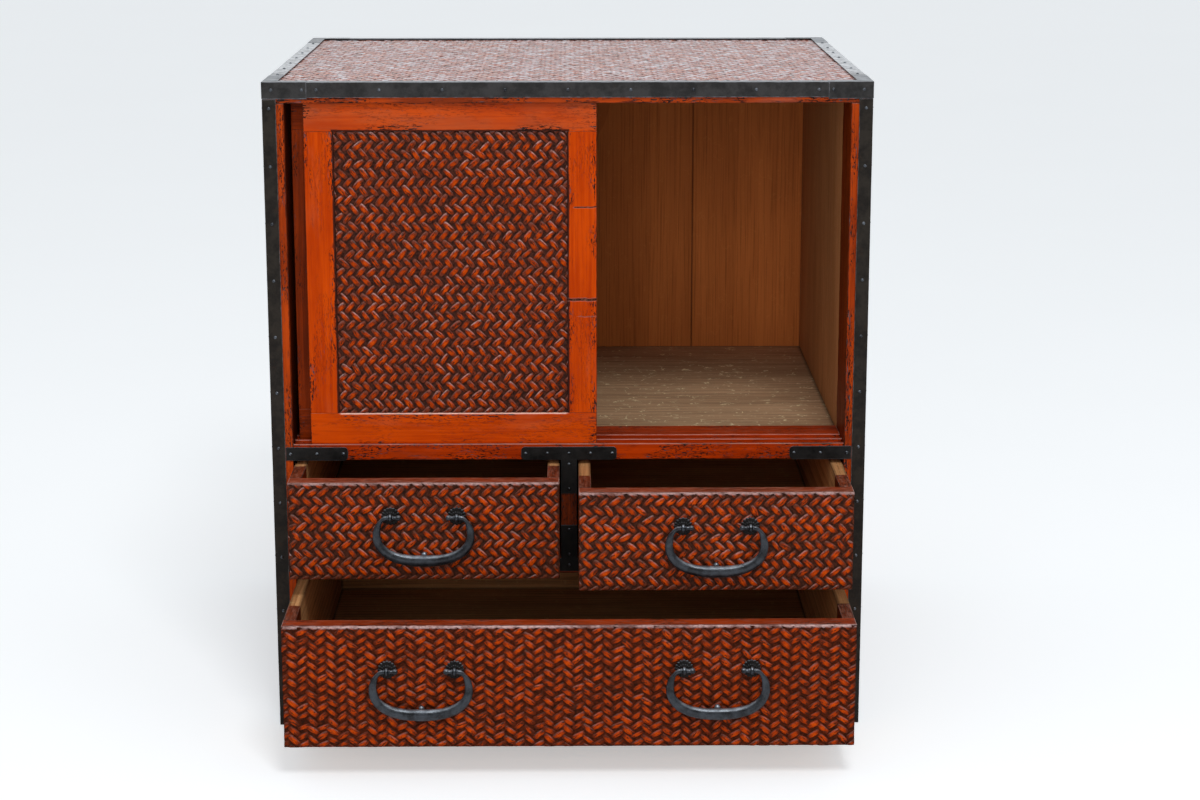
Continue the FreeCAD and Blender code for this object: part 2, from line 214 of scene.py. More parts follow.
# each lacquer: its bright and deep tone and the painted sheen over them, then how strongly show
# the painted highlight on the crests of its edges, the brown line beside them, worn dashes,
# worn edges, worn patches, dust with painted sheen, and the lines round a weave's opening
# (painted shadow with worn black beside and above it, a painted highlight below it), then its
# roughness
lacquerValues = ("bright", "deep", "paintedSheen", "crest", "edgeLine", "dashes", "edgeWear",
                 "patches", "dustySheen", "opening", "rough")
lacquers = {
    "orange": ((200, 70, 0), (172, 52, 0), (190, 92, 56),
               1.0, 0.75, 0.55, 0.25, 0.1, 0.9, 0.9, 0.36),
    # the rear door's lacquer: the orange one darkened by painted shade, for the door behind the
    # front one
    "rear": ((146, 50, 6), (100, 32, 4), (130, 70, 50),
             0.15, 0.2, 0.4, 0.2, 0.1, 0.3, 0.0, 0.4),
    "side": ((180, 66, 12), (128, 42, 8), (160, 84, 56),
             0.4, 0.7, 0.6, 0.7, 0.5, 0.3, 0.0, 0.4),
    "smallFace": ((156, 54, 8), (110, 36, 6), (156, 84, 60),
                  0.8, 0.4, 0.8, 0.7, 0.5, 0.4, 0.0, 0.36),
    "largeFace": ((176, 60, 6), (120, 38, 6), (140, 66, 40),
                  0.6, 0.4, 0.8, 0.6, 0.5, 0.15, 0.0, 0.36),
    "rail": ((186, 58, 4), (140, 38, 2), (156, 76, 50),
             0.9, 0.6, 1.0, 0.6, 0.6, 0.14, 0.0, 0.4),
    "dark": ((126, 48, 14), (78, 27, 6), (104, 56, 40),
             0.15, 0.5, 0.6, 0.8, 0.4, 0.25, 0.0, 0.42),
    "ragged": ((176, 64, 14), (118, 44, 18), (160, 104, 88),
               0.7, 0.5, 0.9, 0.6, 0.9, 0.5, 0.0, 0.46),
}

lacquerWear = {
    "blackCoat": (30, 20, 17),     # the coat under the red
    "rubbed": (96, 84, 88),        # where hands have polished the black coat
    "paleHighlight": (220, 172, 160),   # painted highlight on the crest of an edge that looks up, and on a crack's lip
    "whiteHighlight": (248, 200, 184),  # painted highlight on the top edge of the rail under a weave
    "edgeBrown": (62, 28, 16),     # the thin dark line along every other edge
    # dust with a painted sheen on lacquer that looks up
    "dustAndSheen": (206, 146, 122),
    "haze": (160, 84, 52),         # painted sheen on a door's upper rail
    "crackDeep": (54, 26, 18),
    "crackPale": (120, 70, 56),
    "recessShade": (24, 9, 3),           # painted shade in the recess behind the doors
    "edgeWidth": 1.1 * mm,
    "edgeWander": 1.9 * mm,
    "openingShadowLine": 2.0 * mm,       # how far the painted shadow and worn black line round a weave's opening reaches
    "gloss": 0.02, "coat": 0.04,
}
woodWear = {"dirt": (46, 28, 16), "gloss": 0.08, "coat": 0.0, "coatRoughness": 0.22,
            "bumpStrength": 0.55, "bumpDepth": 0.25 * mm}

# each pattern on a board: how fine it is along and across the grain, detail, roughness
grainPatterns = {
    "pores": (12, 760, 5.0, 0.7),
    "stains": (5, 16, 3.0, 0.55),
    "scuffLines": (60, 420, 5.0, 0.7),
    "scratchBends": (70, 90, 2.0, 0.5),
    "scratchPatches": (110, 110, 3.0, 0.6),
    "brushMarks": (12, 520, 4.0, 0.65),
    "clouds": (12, 40, 4.0, 0.6),
    "haze": (14, 60, 4.0, 0.6),
    "wornPlaces": (22, 60, 3.0, 0.6),
    "dashes": (190, 1500, 2.0, 0.5),
    "specks": (420, 1100, 2.0, 0.5),
    "ragged": (110, 520, 4.0, 0.65),
    "broad": (22, 45, 2.0, 0.5),
    "patches": (70, 480, 5.0, 0.7),
}


def pattern(grain, name):
    along, across, detail, roughness = grainPatterns[name]
    return grains(grain, (along, across, across), detail, roughness)


def bareWoodColour(grain, look):
    # growth rings drawn out along the board, fine pores, broad stains and pale scuffs
    rings = addNode(grain.tree, "ShaderNodeTexWave", "Fac",
                    {"Vector": stretched(grain, (0.12, 1, 1)),
                     "Scale": 0.314 / (look["ringGap"] * mm) / 2, "Distortion": 5.0,
                     "Detail": 3.0, "Detail Scale": 0.35, "Detail Roughness": 0.55},
                    wave_type="RINGS", rings_direction="X", wave_profile="SAW")
    pores = pattern(grain, "pores")
    tone = fade(pattern(grain, "stains"), 0.3, 0.7) * 0.45 + rings * look["rings"]
    colour = blend(look["light"], tone, look["dark"])
    colour = blend(colour, fade(pores, 0.46, 0.74, 0.0, look["pores"]),
                   [part * 0.62 for part in look["dark"]])
    scuffs = (fade(pattern(grain, "scuffLines"), 0.52, 0.72)
              * fade(grains(grain, 340.0, 4.0, 0.7), 0.45, 0.7))
    bend = abs(pattern(grain, "scratchBends") - 0.52)
    scratch = (fade(bend, 0.006, 0.02, look["scratches"], 0.0)
               * fade(pattern(grain, "scratchPatches"), 0.5, 0.6))
    colour = blend(colour, greatest(scuffs * look["scuffs"], scratch),
                   [min(255, part * 1.25 + 22) for part in look["light"]])
    return colour, pores, rings


def lacquerColour(grain, look, edge):
    # a thin coat with brush marks, worn to the black under it along edges, in short dashes
    # that follow the grain and in small specks, most of them near the edges
    wear, tree = lacquerWear, grain.tree
    brush = pattern(grain, "brushMarks")
    tone = brush * 0.55 + pattern(grain, "clouds") * 0.55
    colour = blend(look["bright"], fade(tone, 0.4, 0.7), look["deep"])
    haze = pattern(grain, "haze")
    # painted sheen over the lacquer, in patches
    colour = blend(colour, fade(haze, 0.56, 0.85, 0.0, 0.5), look["paintedSheen"])
    if look["opening"]:
        across, below, upward = partsOf(read(tree, "fromOpening", "Vector"))
        # painted sheen on the rail above a weave
        above = fade(upward, -1 * mm, 4 * mm) * (1.0 - below)
        colour = blend(colour, above * fade(haze, 0.35, 0.65, 0.15, 0.55), wear["haze"])

    nearEdge = fade(edge, 0.0, 8 * mm, 1.0, 0.25)
    gate = fade(pattern(grain, "wornPlaces"), 0.44, 0.58) * nearEdge
    marks = greatest(fade(pattern(grain, "dashes"), 0.56, 0.62),
                     fade(pattern(grain, "specks"), 0.58, 0.64))
    marks = marks * (gate * (look["dashes"] * 2.6))
    ragged, broad = pattern(grain, "ragged"), pattern(grain, "broad")
    wander = ragged + broad * 1.2
    wandering = wear["edgeWander"] * (0.5 + 1.5 * look["edgeWear"])
    edges = fade((wander - 1.12) * wandering + edge, -0.3 * mm,
                 wear["edgeWidth"] * look["edgeWear"], 1.0, 0.0)
    patches = fade(pattern(grain, "patches"), 0.54, 0.68, 0.0, look["patches"])
    worn = calc("MINIMUM", greatest(marks, edges, patches), 1.0)
    under = blend(wear["blackCoat"], fade(ragged, 0.5, 0.75), wear["rubbed"])
    colour = blend(colour, worn, under)

    line = fade(ragged * (0.8 * mm) + edge, 0.5 * mm, 1.1 * mm, look["edgeLine"], 0.0)
    colour = blend(colour, line, wear["edgeBrown"])
    # painted highlight on edge crests and raised bevels that look up
    crest = fade(edge, 0.2 * mm, 0.7 * mm, 1.0, 0.0) * fade(broad, 0.4, 0.6, 0.2, 0.95)
    ridge = read(tree, "ridge")
    raised = fade(ridge, 0.1, 0.7) * fade(broad, 0.36, 0.56, 0.45, 1.0)
    crest = greatest(crest, raised) * facesUp(tree, 0.1, 0.5) * look["crest"]
    if look["opening"]:
        crest = crest * fade(across, 0.0, 1.5 * mm, 1.0, 0.0)
    colour = blend(colour, crest, wear["paleHighlight"])
    colour = blend(colour, fade(ridge, -0.9, -0.2, 0.85, 0.0), wear["blackCoat"])
    if look["opening"]:
        # painted shadow with worn black coat round a weave's opening, not on the rail below it
        away = (wander - 1.1) * (1.2 * mm) + greatest(across, upward)
        shadowAndWearLine = fade(away, wear["openingShadowLine"] * 0.5, wear["openingShadowLine"],
                       look["opening"], 0.0)
        colour = blend(colour, shadowAndWearLine * (1.0 - below), wear["blackCoat"])
        # painted highlight along the top edge of the rail below a weave
        depth = (ragged - 0.5) * (1.2 * mm) + upward
        railHighlight = (below * fade(depth, 0.4 * mm, 1.4 * mm, 0.95, 0.0)
                      * fade(across, -2.0 * mm, 0.5 * mm, look["opening"], 0.0))
        colour = blend(colour, railHighlight, wear["whiteHighlight"])
    # dust with a painted sheen on faces that look up
    film = fade(ragged, 0.42, 0.68, look["dustySheen"] * 0.15, look["dustySheen"])
    colour = blend(colour, facesUp(tree, 0.3, 0.8) * film, wear["dustAndSheen"])
    # a crack: its pale lips are a painted highlight, its dark stroke is dirt with painted shade
    # inside it
    crack = read(tree, "crack")
    crackDirtAndShade = blend(wear["crackDeep"], fade(ragged, 0.4, 0.65), wear["crackPale"])
    torn = ((ragged - 0.5) * 0.9 + crack) * fade(crack, 0.0, 0.2)
    colour = blend(colour, fade(torn, 0.02, 0.25, 0.0, 0.15), wear["paleHighlight"])
    return blend(colour, fade(torn, 0.2, 0.6), crackDirtAndShade), brush, worn


def woodFinish(name, bare=None, lacquer=None, zone=None, recessShade=0.0):
    # zone is how far back from its front end, in metres, a board is lacquered; recessShade is
    # how dark the painted shade is further back from the front edge, in the recess behind the
    # doors
    material, tree, shader = newMaterial(name)
    grain = read(tree, "grain", "Vector")
    edge = edgeDistance(tree)
    if bare:
        look = dict(zip(woodValues, bareWoods[bare]))
        colour, pores, rings = bareWoodColour(grain, look)
        colour = blend(colour, fade(edge, 0.0, look["dirt"] * mm, 0.65, 0.0), woodWear["dirt"])
        roughness = fade(pores, 0.3, 0.7, look["rough"] - 0.08, look["rough"] + 0.12)
        height = rings * 0.35 + pores
    if lacquer:
        look = dict(zip(lacquerValues, lacquers[lacquer]))
        coat, brush, worn = lacquerColour(grain, look, edge)
        coatRoughness = fade(brush, 0.3, 0.7, look["rough"] - 0.06, look["rough"] + 0.1)
        coatHeight = worn * -0.8 + brush
        if bare:
            depth = partsOf(read(tree, "fromLow", "Vector"))[1]
            border = grains(grain, 60.0) * (8 * mm) + depth
            share = fade(border, zone + 3 * mm, zone + 5 * mm, 1.0, 0.0)
            # painted shade: darker a few mm back from the front edge, inside the opening
            if recessShade:
                paintedShade = fade(depth, 1.5 * mm, 5 * mm, 0.0, recessShade)
                coat = blend(coat, paintedShade, lacquerWear["recessShade"])
            colour = blend(colour, share, coat)
            roughness = fade(share, 0, 1, roughness, coatRoughness)
            height = fade(share, 0, 1, height, coatHeight)
        else:
            colour, roughness, height = coat, coatRoughness, coatHeight
    wear = lacquerWear if lacquer else woodWear
    bump = bumpFrom(height, woodWear["bumpStrength"], woodWear["bumpDepth"])
    fillShader(shader, colour, roughness, bump, wear["gloss"], wear["coat"],
               woodWear["coatRoughness"])
    return material


wallZone, drawerZone = 56 * mm, 34 * mm
# each finish: name, bare wood, lacquer, how far back it is lacquered, painted recess shade
woodFinishes = {
    "orangeFrame": ("orange_frame_lacquer", None, "orange"),
    "redRail": ("red_rail_lacquer", None, "rail"),
    "darkRail": ("dark_rail_lacquer", None, "dark"),
    "shadedRearFrame": ("shaded_rear_frame_lacquer", None, "rear"),
    "rightWall": ("right_wall_wood", "wallBoard", "side", wallZone, 0.5),
    "leftWall": ("left_wall_wood", "wallBoard", "side", wallZone, 0.85),
    "headRail": ("head_rail_lacquer", None, "ragged"),
    "smallFace": ("small_drawer_face_lacquer", None, "smallFace"),
    "largeFace": ("large_drawer_face_lacquer", None, "largeFace"),
    "drawerSide": ("drawer_side_wood", "drawerBoard", "dark", drawerZone),
    "drawerInside": ("drawer_inside_wood", "drawerBoard"),
    "backWood": ("back_board_wood", "backBoard"),
    "floorWood": ("compartment_floor_wood", "floorBoard"),
    "plainWood": ("carcass_wood", "hiddenBoard"),
}
finishes = {finish: woodFinish(*values) for finish, values in woodFinishes.items()}
print("wood and lacquer mixed:", len(finishes), "finishes")


splintColours = {
    "brown": (106, 38, 14),
    "red": (158, 52, 4),
    "worn": (198, 72, 2),
    "scratch": (52, 26, 16),
    "sheen": (206, 172, 168),      # painted highlight on the upper edge of each float
    "warmDustSheen": (252, 176, 148), "coldDustSheen": (240, 242, 250),
    "gloss": 0.02, "coat": 0.05, "dustyCoat": 1.0, "coatRoughness": 0.2,
}

# each weave: colour of its hollows and of the floats' rims, how strongly the painted highlight
# shows on the upper edges, how strong it is on the rounded top border, how far wear moves the
# bright part out from the crown, and how much dust with painted sheen lies on it
splints = {
    "doorSplint": ("door_splint_lacquer", (70, 36, 26), (112, 52, 35), 0.64),
    "drawerSplint": ("drawer_splint_lacquer", (68, 34, 22), (94, 44, 27), 0.42, 0.68),
    "largeSplint": ("large_drawer_splint_lacquer", (76, 28, 9), (90, 32, 10), 0.2, 0.9),
    "caseSplint": ("case_splint_lacquer", (66, 30, 16), (90, 42, 26), 0.3),
    "topSplint": ("top_splint_lacquer", (58, 28, 18), (96, 44, 28), 0.0, 0.0, 0.35, 0.9),
}


def splintFinish(name, hollow, rim, sheenShare, borderSheen=0.0, wear=0.0, dustAndSheen=0.0):
    look = splintColours
    material, tree, shader = newMaterial(name)
    crown, height, lot = [read(tree, label) for label in ("crown", "height", "lot")]
    strand = read(tree, "strand", "Vector")
    ragged = grains(strand, (360, 1100, 900), 4.0, 0.62)
    fibres = grains(strand, (130, 2200, 900), 3.0, 0.6)
    worms = grains(strand, (260, 800, 700), 2.0, 0.5)
    spot = spotIn(tree)
    broad = grains(spot, 34.0, 4.0, 0.6)
    relief = bumpFrom(fibres, 0.4, 0.12 * mm, bumpFrom(ragged, 0.5, 0.35 * mm))
    level = (ragged - 0.5) * 1.3 + crown
    level = (lot - 0.5) * 0.34 + level
    level = (broad - 0.5) * 0.5 + level
    level = level + fade(read(tree, "inset"), 0.0, 4 * mm, wear - 0.5, wear)
    colour = blend(hollow, fade(grains(spot, 420.0, 3.0, 0.6), 0.35, 0.68),
                   [part * 0.55 for part in hollow])
    colour = blend(colour, fade(height, 0.15, 0.62), rim)
    for tone, low, high in (("brown", 0.05, 0.4), ("red", 0.25, 0.6), ("worn", 0.6, 1.1)):
        colour = blend(colour, fade(level, low, high), look[tone])
    marks = greatest(fade(fibres, 0.56, 0.68, 0.0, 0.6), fade(worms, 0.55, 0.63, 0.0, 0.85))
    colour = blend(colour, marks, look["scratch"])
    film = grains(strand, 420.0, 4.0, 0.6)
    # dust with a painted sheen of grazing reflection on the crests that look up
    if dustAndSheen:
        share = (fade(film, 0.3, 0.7, dustAndSheen * 0.4, dustAndSheen * 1.25)
                 * facesUp(tree, 0.66, 0.97, relief) * fade(height, 0.35, 0.85, 0.05, 1.0)
                 * fade(lot, 0.0, 1.0, 0.6, 1.1) * fade(broad, 0.38, 0.6, 0.8, 1.1))
        tone = blend(look["warmDustSheen"], fade(lot, 0.2, 0.7), look["coldDustSheen"])
        colour = blend(colour, share, tone)
    else:
        # painted highlight on the floats' upper edges and on the rounded top border
        sheen = (facesUp(tree, 0.12, 0.48, relief)
                 * fade(film, 0.3, 0.65, sheenShare * 0.2, sheenShare)
                 * fade(height, 0.25, 0.6) * fade(lot, 0.3, 0.9, 0.3, 1.15))
        if borderSheen:
            border = (fade(read(tree, "fromTop"), 0.9 * mm, 2.6 * mm, 1.0, 0.0)
                      * fade(broad, 0.34, 0.52, borderSheen * 0.3, borderSheen)
                      * fade(film, 0.35, 0.6, 0.5, 1.0))
            sheen = greatest(sheen, border)
        colour = blend(colour, sheen, look["sheen"])
    fillShader(shader, colour, fade(fibres, 0.3, 0.7, 0.3, 0.48), relief, look["gloss"],
               look["dustyCoat"] if dustAndSheen else look["coat"], look["coatRoughness"])
    return material


for finish, values in splints.items():
    finishes[finish] = splintFinish(*values)

# each iron: its dark, middle, brown and polished tone and the dust with painted sheen on what
# lies flat, then how thick that dust and sheen is, gloss, roughness, wax, how much is polished,
# how bright the edges are, and how metallic it is
ironValues = ("dark", "mid", "brown", "polished", "flat", "film", "gloss", "rough", "waxed",
              "polish", "edgeShine", "metallic")
plainDustSheen = (176, 186, 196)
soot = ((13, 12, 11), (28, 26, 25), (38, 26, 20), (84, 82, 84), plainDustSheen, 0.4, 0.15, 0.46, 0.0)
irons = {
    "edgeIron": ((16, 14, 13), (44, 42, 42), (44, 32, 25), (140, 142, 150), (140, 146, 153),
                 0.95, 0.16, 0.42, 0.3, 0.04, 0.5, 0.0),
    "flangeIron": ((20, 18, 17), (44, 41, 40), (44, 32, 25), (132, 134, 142),
                   (226, 230, 235), 0.95, 0.2, 0.42, 0.5, 0.04, 0.5, 0.0),
    "postIron": ((24, 20, 17), (42, 37, 32), (52, 36, 26), (116, 112, 112), plainDustSheen,
                 0.8, 0.12, 0.46, 0.0, 0.04, 0.5, 0.0),
    "plateIron": (*soot, 0.04, 0.3, 0.0),
    "handleIron": ((31, 32, 35), (62, 66, 72), (44, 38, 36), (132, 142, 152), plainDustSheen,
                   0.8, 0.5, 0.32, 0.0, 0.16, 0.0, 0.7),
    "rosetteIron": (*soot, 0.3, 0.0, 0.3),
    "nailIron": ((46, 47, 50), (92, 96, 102), (50, 42, 38), (190, 198, 208), plainDustSheen,
                 0.4, 0.5, 0.3, 0.0, 0.5, 0.0, 0.9),
    "studIron": ((84, 88, 94), (138, 146, 156), (60, 52, 48), (214, 222, 232), plainDustSheen,
                 0.4, 0.5, 0.28, 0.0, 0.5, 0.0, 0.8),
}
sheenFadeDepths = {"flangeIron": (-185 * mm, -75 * mm)}   # dust and painted sheen fade out towards the front across these depths


def ironFinish(finish):
    look = dict(zip(ironValues, irons[finish]))
    material, tree, shader = newMaterial(finish.replace("Iron", "_iron"))
    spot = spotIn(tree)
    cloud = grains(spot, 90.0, 6.0, 0.72)
    grit = grains(spot, 1500.0, 3.0, 0.6)
    rust = grains(spot, 160.0, 4.0, 0.65)
    dents = addNode(tree, "ShaderNodeTexVoronoi", "Distance",
                    {"Vector": spot, "Scale": 190.0, "Smoothness": 0.8}, feature="SMOOTH_F1")
    colour = blend(look["dark"], fade(cloud, 0.36, 0.64), look["mid"])
    colour = blend(colour, fade(rust, 0.58, 0.78, 0.0, 0.55), look["brown"])
    rubbed = fade(grit, 0.55, 0.75, 0.0, look["polish"])
    if look["edgeShine"]:
        wander = (rust - 0.5) * (1.6 * mm) + edgeDistance(tree)
        rubbed = greatest(rubbed, fade(wander, 0.0, 0.55 * mm, look["edgeShine"], 0.0))
    colour = blend(colour, rubbed, look["polished"])
    # dust with a painted sheen of the sky on iron that looks up
    dustAndSheen = facesUp(tree, 0.4, 0.95) * fade(rust, 0.35, 0.65, look["film"] * 0.35, look["film"])
    if finish in sheenFadeDepths:
        dustAndSheen = dustAndSheen * fade(partsOf(spot)[1], *sheenFadeDepths[finish], 0.1, 1.0)
    colour = blend(colour, dustAndSheen, look["flat"])
    roughness = fade(cloud, 0.3, 0.7, look["rough"] - 0.06, look["rough"] + 0.14)
    soft = bumpFrom(dents, 0.35, 0.5 * mm)
    fillShader(shader, colour, roughness, bumpFrom(grit, 0.3, 0.08 * mm, soft), look["gloss"],
               look["waxed"], 0.25)
    shader.inputs["Metallic"].default_value = look["metallic"]
    return material


for finish in irons:
    finishes[finish] = ironFinish(finish)
print("splint and iron finishes mixed")


boardWork = {
    "weldGap": 0.002 * mm, "cutGap": 0.02 * mm,
    "sharpAngle": 50, "shortEdge": 1.5 * mm,       # what counts as an edge to round
    "chipSize": 0.22, "chipFrom": 0.25, "chipDepth": 1.5,
}


def islandsOf(mesh):
    # the separate solids of a mesh, as lists of vertices
    seen, groups = set(), []
    for start in mesh.verts:
        if start in seen:
            continue
        seen.add(start)
        group = [start]
        for vert in group:
            for other in [edge.other_vert(vert) for edge in vert.link_edges]:
                if other not in seen:
                    seen.add(other)
                    group.append(other)
        groups.append(group)
    return groups


def cornersOf(verts):
    return [Vector([pick(vert.co[i] for vert in verts) for i in range(3)])
            for pick in (min, max)]


def weldNode(nodeName, flatten=True):
    # the node as one clean mesh; flatten makes each flat side a single face again
    mesh = bmesh.new()
    mesh.from_mesh(nodes[nodeName].data)
    bmesh.ops.remove_doubles(mesh, verts=mesh.verts, dist=boardWork["weldGap"])
    if flatten:
        bmesh.ops.dissolve_limit(mesh, angle_limit=math.radians(1), verts=mesh.verts,
                                 edges=mesh.edges)
    return mesh


def seamNode(nodeName, seams):
    # the node's box as upright boards, each seam at its share of the width
    mesh = bmesh.new()
    low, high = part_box(nodeName)
    bounds = [low.x + (high.x - low.x) * share for share in (0, *seams, 1)]
    for first, last in zip(bounds, bounds[1:]):
        for vert in bmesh.ops.create_cube(mesh, size=1.0)["verts"]:
            vert.co = (first if vert.co.x < 0 else last,
                       low.y if vert.co.y < 0 else high.y,
                       low.z if vert.co.z < 0 else high.z)
    return mesh


def sliceUp(mesh, step):
    # cut long faces into short ones, so that they can bend
    low, high = cornersOf(mesh.verts)
    for axis in range(3):
        count = int((high[axis] - low[axis]) / step)
        for i in range(1, count):
            spot, normal = low.copy(), Vector((0, 0, 0))
            spot[axis] += (high[axis] - low[axis]) * i / count
            normal[axis] = 1
            bmesh.ops.bisect_plane(mesh, geom=mesh.verts[:] + mesh.edges[:] + mesh.faces[:],
                                   plane_co=spot, plane_no=normal, dist=boardWork["cutGap"])


def waveSurface(mesh, depth, length, seed):
    # only inwards, so that the piece keeps its size
    mesh.normal_update()
    shift = Vector((seed * 1.7, seed * 3.1, seed * 0.9))
    moves = []
    for vert in mesh.verts:
        swell = noise.noise(vert.co / length + shift) * 0.5 + 0.5
        chip = noise.noise(vert.co / (length * boardWork["chipSize"]) - shift)
        chip = max(0.0, chip - boardWork["chipFrom"]) * boardWork["chipDepth"]
        moves.append(vert.normal * -depth * (swell + chip))
    for vert, move in zip(mesh.verts, moves):
        vert.co += move


# how finely a crack is cut, how far from it faces are cut, and how far its line wanders
crackWork = {"cuts": 12, "before": 4 * mm, "band": 8 * mm, "wideBefore": 6 * mm,
             "wideBand": 20 * mm, "faceDepth": 2 * mm, "jagLength": 3 * mm, "jag": 0.5 * mm}


def cutNear(mesh, spot, normal, start, band):
    centres = [(face, face.calc_center_median()) for face in mesh.faces]
    near = [face for face, centre in centres
            if centre.x > start and abs(centre.z - spot.z) < band]
    edges = dict.fromkeys(edge for face in near for edge in face.edges)
    verts = dict.fromkeys(vert for face in near for vert in face.verts)
    bmesh.ops.bisect_plane(mesh, geom=[*near, *edges, *verts], plane_co=spot,
                           plane_no=normal, dist=boardWork["cutGap"])


def crackBoards(mesh, cracks, seed):
    # split the front face along level lines: each crack has its height, its opening, its
    # depth and the stretch of the board that it crosses, in mm, and how dark it is
    work = crackWork
    crackLayer = mesh.verts.layers.float.new("crack")
    face = cornersOf(mesh.verts)[0].y
    for z, opening, depth, first, last, darkness in cracks:
        first, last = first * mm, last * mm
        for step in range(1, work["cuts"]):
            spot = Vector((first + (last - first) * step / work["cuts"], 0, z * mm))
            cutNear(mesh, spot, (1, 0, 0), first - work["before"], work["band"])
        for part in (-0.5, 0.0, 0.5):
            spot = Vector((0, 0, (z + opening * part) * mm))
            cutNear(mesh, spot, (0, 0, 1), first - work["wideBefore"], work["wideBand"])
        for vert in mesh.verts:
            away = abs(vert.co.z - z * mm) / (opening * mm)
            if (away > 0.6 or not first <= vert.co.x <= last
                    or vert.co.y >= face + work["faceDepth"]):
                continue
            jag = noise.noise(Vector((vert.co.x / work["jagLength"], seed, z)))
            vert.co.z += jag * work["jag"]
            if away < 0.2:
                vert.co.y += depth * mm * (0.65 + 0.35 * jag)
                vert[crackLayer] = darkness


def markOpening(mesh, nodeName):
    # how far a door's frame lies from its weave: across, then whether it lies below, then up
    layer = mesh.verts.layers.float_vector.new("fromOpening")
    low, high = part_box(nodeName)
    middle, half = (low + high) / 2, (high - low) / 2
    for vert in mesh.verts:
        away = vert.co - middle
        below = 1.0 if away.z < -half.z + 0.2 * mm else 0.0
        vert[layer] = (abs(away.x) - half.x, below, abs(away.z) - half.z)


# where a board is sawn from its trunk, how far that strays, and how far an end that meets
# another board is moved from its edge, so that it shows no wear
grainWork = {"heart": (0.035, 0.05), "stray": 0.03, "openEnd": 20 * mm}


def markBoards(mesh, grainAxis, seed, openReach):
    # what the finishes read: place along the grain and distances to the board's own corners
    grainLayer, lowLayer, highLayer = [mesh.verts.layers.float_vector.new(label)
                                       for label in ("grain", "fromLow", "fromHigh")]
    order = [grainAxis, (grainAxis + 1) % 3, (grainAxis + 2) % 3]
    for i, group in enumerate(islandsOf(mesh)):
        low, high = cornersOf(group)
        middle = (low + high) / 2
        strays = np.random.RandomState(seed * 100 + i).uniform(-1, 1, 2) * grainWork["stray"]
        aside, below = np.array(grainWork["heart"]) + strays
        start = Vector((seed * 0.37 + i * 0.61, aside, below))
        for vert in group:
            local = vert.co - middle
            vert[grainLayer] = Vector([local[k] for k in order]) + start
            fromLow, fromHigh = vert.co - low, high - vert.co
            if openReach and abs(local.x) > (high.x - low.x) / 2 - openReach:
                fromLow.z += grainWork["openEnd"]
                fromHigh.z += grainWork["openEnd"]
            vert[lowLayer] = fromLow
            vert[highLayer] = fromHigh


def addObject(name, data):
    made = bpy.data.objects.new(name, data)
    bpy.context.scene.collection.objects.link(made)
    return made


def setPiece(name, data, finish, nodeName):
    # a piece that stands for its node and moves with it
    data.materials.append(finishes[finish])
    piece = addObject(name, data)
    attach(piece, nodes[nodeName]["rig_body"])
    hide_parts(nodeName)


def settle(mesh, name, finish, nodeName, smooth=False):
    data = bpy.data.meshes.new(name)
    mesh.to_mesh(data)
    mesh.free()
    data.polygons.foreach_set("use_smooth", [smooth] * len(data.polygons))
    setPiece(name, data, finish, nodeName)


def repaint(nodeName, finish):
    nodes[nodeName].data.materials.clear()
    nodes[nodeName].data.materials.append(finishes[finish])


def dressBoard(nodeName, finish, grainAxis, rounding, step, wave, waveLength=30.0, seams=(),
               seed=1, openReach=0.0, cracks=(), butt=0.0, opening=None):
    # a copy of the node with rounded edges and slight waves; openReach is how much of its
    # ends meets other boards, butt pushes its ends that far, in mm, into what they meet
    mesh = seamNode(nodeName, seams) if seams else weldNode(nodeName)
    low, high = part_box(nodeName)
    for vert in mesh.verts:
        for end, push in ((low.x, -butt), (high.x, butt)):
            if abs(vert.co.x - end) < 0.05 * mm:
                vert.co.x += push * mm
    ridgeLayer = mesh.verts.layers.float.new("ridge")
    sharp = [e for e in mesh.edges if len(e.link_faces) == 2
             and e.calc_face_angle() > math.radians(boardWork["sharpAngle"])
             and e.calc_length() > boardWork["shortEdge"]]
    made = bmesh.ops.bevel(mesh, geom=sharp, offset=rounding * mm, segments=2, profile=0.6,
                           affect="EDGES", clamp_overlap=True)
    rounded = set(made["faces"])
    for vert in made["verts"]:
        if all(face in rounded for face in vert.link_faces):
            turns = sum(e.calc_face_angle_signed(0.0) for e in vert.link_edges)
            vert[ridgeLayer] = 1.0 if turns > 0 else -1.0
    sliceUp(mesh, step * mm)
    waveSurface(mesh, wave * mm, waveLength * mm, seed)
    crackBoards(mesh, cracks, seed)
    markBoards(mesh, grainAxis, seed, openReach)
    if opening:
        markOpening(mesh, opening)
    settle(mesh, nodeName + "_finished", finish, nodeName)


# each board: finish, axis of its grain (0 across, 1 front to back, 2 upright), rounding,
# gap between the points of its waves and their depth, all in mm
caseBoards = {
    "top_board": ("plainWood", 0, 0.4, 40, 0.05),
    "head_rail": ("headRail", 0, 0.5, 8, 0.3),
    "side_board_left": ("leftWall", 2, 0.6, 16, 0.12),
    "side_board_right": ("rightWall", 2, 0.6, 16, 0.12),
    "compartment_floor": ("floorWood", 0, 0.4, 24, 0.1),
    "sill_rail": ("redRail", 0, 0.9, 10, 0.2),
    "centre_divider": ("darkRail", 2, 0.4, 16, 0.1),
    "lower_rail": ("darkRail", 0, 0.6, 12, 0.15),
    "drawer_shelf": ("plainWood", 0, 0.4, 40, 0.05),
    "base_rail": ("darkRail", 0, 0.6, 12, 0.15),
    "bottom_board": ("plainWood", 0, 0.4, 40, 0.05),
    "drawer_runners": ("plainWood", 1, 0.5, 40, 0.05),
}
for i, (name, look) in enumerate(caseBoards.items()):
    dressBoard(name, *look, seed=i + 1)
dressBoard("back_boards", "backWood", 2, 0.35, 24, 0.15, seams=(0.26, 0.51, 0.765), seed=21)

